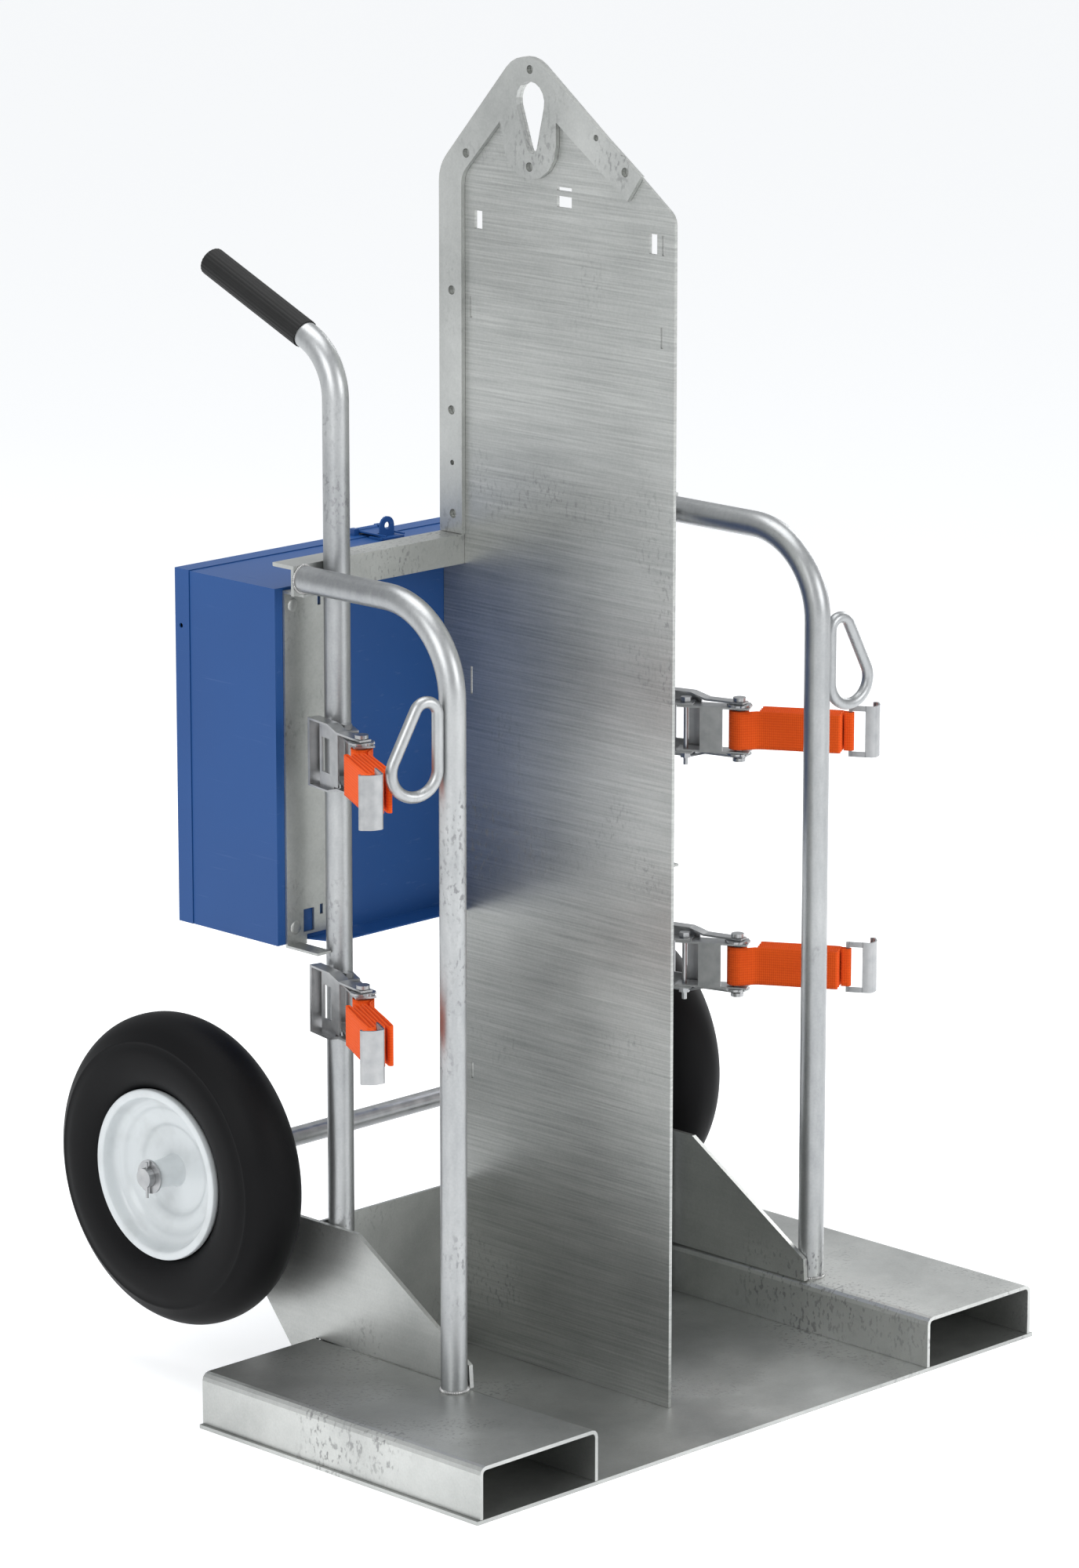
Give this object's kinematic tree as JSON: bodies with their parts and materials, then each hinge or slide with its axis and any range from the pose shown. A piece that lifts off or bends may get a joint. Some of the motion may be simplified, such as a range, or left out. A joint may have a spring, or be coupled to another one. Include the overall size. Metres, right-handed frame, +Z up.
{
  "type": "gas welding cylinder cart",
  "caption": "Upright gas welding cart with a central fire wall and lifting eye, fork pockets, wheels, tilting handles, toolbox and ratchet straps.",
  "frame": {"origin": "centre of the base plate's underside", "axes": "+Z up, +X to the right as seen from the open front, +Y toward the wheels and handles"},
  "size_m": [1.016, 0.8722, 1.6917],
  "materials": {
    "galvanised": "brushed, spotted and lightly scuffed galvanised steel",
    "zinc": "bright zinc plate",
    "blue_paint": "satin powder coat",
    "webbing": "woven polyester webbing",
    "tyre_rubber": "smooth dull rubber",
    "grip_rubber": "ribbed soft grip",
    "white_paint": "semi-gloss white paint"
  },
  "bodies": {
    "cart": {"base_plate": "galvanised", "fork_pocket_left": "galvanised", "fork_pocket_right": "galvanised", "gusset_left": "galvanised", "gusset_right": "galvanised", "back_panel": "galvanised", "centre_wall": "galvanised", "lifting_frame": "galvanised", "angle_crossbar": "galvanised", "pole_left": "galvanised", "pole_right": "galvanised", "hoop_left": "galvanised", "hoop_right": "galvanised", "torch_ring_left": "galvanised", "torch_ring_right": "galvanised", "grip_left": "grip_rubber", "grip_right": "grip_rubber", "axle": "zinc", "toolbox_bracket_left": "galvanised", "toolbox_bracket_right": "galvanised", "toolbox_body": "blue_paint", "hasp_staple": "blue_paint", "washer_left": "zinc", "washer_right": "zinc", "cotter_pin_left": "zinc", "cotter_pin_right": "zinc", "strap_bracket_left_upper": "zinc", "strap_bracket_left_lower": "zinc", "strap_bracket_right_upper": "zinc", "strap_bracket_right_lower": "zinc", "swivel_bolt_left_upper": "zinc", "swivel_bolt_left_lower": "zinc", "swivel_bolt_right_upper": "zinc", "swivel_bolt_right_lower": "zinc"},
    "lid": {"toolbox_lid": "blue_paint"},
    "hasp": {"hasp_strap": "blue_paint"},
    "wheel_left": {"rim_left": "white_paint", "tyre_left": "tyre_rubber"},
    "wheel_right": {"rim_right": "white_paint", "tyre_right": "tyre_rubber"},
    "strap_left_upper": {"ratchet_frame_left_upper": "zinc", "strap_webbing_left_upper": "webbing"},
    "handle_left_upper": {"ratchet_handle_left_upper": "zinc"},
    "spool_left_upper": {"ratchet_spool_left_upper": "zinc"},
    "hook_left_upper": {"strap_hook_left_upper": "zinc"},
    "strap_left_lower": {"ratchet_frame_left_lower": "zinc", "strap_webbing_left_lower": "webbing"},
    "handle_left_lower": {"ratchet_handle_left_lower": "zinc"},
    "spool_left_lower": {"ratchet_spool_left_lower": "zinc"},
    "hook_left_lower": {"strap_hook_left_lower": "zinc"},
    "strap_right_upper": {"ratchet_frame_right_upper": "zinc", "strap_webbing_right_upper": "webbing"},
    "handle_right_upper": {"ratchet_handle_right_upper": "zinc"},
    "spool_right_upper": {"ratchet_spool_right_upper": "zinc"},
    "hook_right_upper": {"strap_hook_right_upper": "zinc"},
    "strap_right_lower": {"ratchet_frame_right_lower": "zinc", "strap_webbing_right_lower": "webbing"},
    "handle_right_lower": {"ratchet_handle_right_lower": "zinc"},
    "spool_right_lower": {"ratchet_spool_right_lower": "zinc"},
    "hook_right_lower": {"strap_hook_right_lower": "zinc"}
  },
  "joints": [
    {"name": "wheel_left_spin", "type": "hinge", "parent": "cart", "child": "wheel_left", "pos_m": [-0.382, 0.42, 0.276], "axis": [1, 0, 0], "continuous": true},
    {"name": "wheel_right_spin", "type": "hinge", "parent": "cart", "child": "wheel_right", "pos_m": [0.382, 0.42, 0.276], "axis": [1, 0, 0], "continuous": true},
    {"name": "lid_hinge", "type": "hinge", "parent": "cart", "child": "lid", "pos_m": [0, 0.4388, 0.5816], "axis": [-1, 0, 0], "range_deg": [0, 100]},
    {"name": "hasp_hinge", "type": "hinge", "parent": "lid", "child": "hasp", "pos_m": [-0.016, 0.4565, 1.0498], "axis": [-1, 0, 0], "range_deg": [0, 120]},
    {"name": "strap_left_upper_swivel", "type": "hinge", "parent": "cart", "child": "strap_left_upper", "pos_m": [-0.30328, 0.19008, 0.842], "axis": [0, 0, 1], "range_deg": [-7, 1]},
    {"name": "handle_left_upper_swing", "type": "hinge", "parent": "strap_left_upper", "child": "handle_left_upper", "pos_m": [-0.33661, 0.12739, 0.842], "axis": [0, 0, 1], "range_deg": [0, 100]},
    {"name": "spool_left_upper_turn", "type": "hinge", "parent": "strap_left_upper", "child": "spool_left_upper", "pos_m": [-0.33661, 0.12739, 0.842], "axis": [0, 0, 1], "continuous": true},
    {"name": "hook_left_upper_swing", "type": "hinge", "parent": "strap_left_upper", "child": "hook_left_upper", "pos_m": [-0.42274, 0.01067, 0.842], "axis": [0, 0, 1], "range_deg": [-15, 15]},
    {"name": "strap_left_lower_swivel", "type": "hinge", "parent": "cart", "child": "strap_left_lower", "pos_m": [-0.30328, 0.19008, 0.524], "axis": [0, 0, 1], "range_deg": [-7, 16]},
    {"name": "handle_left_lower_swing", "type": "hinge", "parent": "strap_left_lower", "child": "handle_left_lower", "pos_m": [-0.33661, 0.12739, 0.524], "axis": [0, 0, 1], "range_deg": [0, 100]},
    {"name": "spool_left_lower_turn", "type": "hinge", "parent": "strap_left_lower", "child": "spool_left_lower", "pos_m": [-0.33661, 0.12739, 0.524], "axis": [0, 0, 1], "continuous": true},
    {"name": "hook_left_lower_swing", "type": "hinge", "parent": "strap_left_lower", "child": "hook_left_lower", "pos_m": [-0.42274, 0.01067, 0.524], "axis": [0, 0, 1], "range_deg": [-15, 15]},
    {"name": "strap_right_upper_swivel", "type": "hinge", "parent": "cart", "child": "strap_right_upper", "pos_m": [0.3057, 0.19148, 0.78], "axis": [0, 0, -1], "range_deg": [-7, 20]},
    {"name": "handle_right_upper_swing", "type": "hinge", "parent": "strap_right_upper", "child": "handle_right_upper", "pos_m": [0.34332, 0.13127, 0.78], "axis": [0, 0, -1], "range_deg": [0, 100]},
    {"name": "spool_right_upper_turn", "type": "hinge", "parent": "strap_right_upper", "child": "spool_right_upper", "pos_m": [0.34332, 0.13127, 0.78], "axis": [0, 0, 1], "continuous": true},
    {"name": "hook_right_upper_swing", "type": "hinge", "parent": "strap_right_upper", "child": "hook_right_upper", "pos_m": [0.43739, 0.02083, 0.78], "axis": [0, 0, 1], "range_deg": [-15, 15]},
    {"name": "strap_right_lower_swivel", "type": "hinge", "parent": "cart", "child": "strap_right_lower", "pos_m": [0.3057, 0.19148, 0.462], "axis": [0, 0, -1], "range_deg": [-7, 20]},
    {"name": "handle_right_lower_swing", "type": "hinge", "parent": "strap_right_lower", "child": "handle_right_lower", "pos_m": [0.34332, 0.13127, 0.462], "axis": [0, 0, -1], "range_deg": [0, 100]},
    {"name": "spool_right_lower_turn", "type": "hinge", "parent": "strap_right_lower", "child": "spool_right_lower", "pos_m": [0.34332, 0.13127, 0.462], "axis": [0, 0, 1], "continuous": true},
    {"name": "hook_right_lower_swing", "type": "hinge", "parent": "strap_right_lower", "child": "hook_right_lower", "pos_m": [0.43739, 0.02083, 0.462], "axis": [0, 0, 1], "range_deg": [-15, 15]}
  ]
}
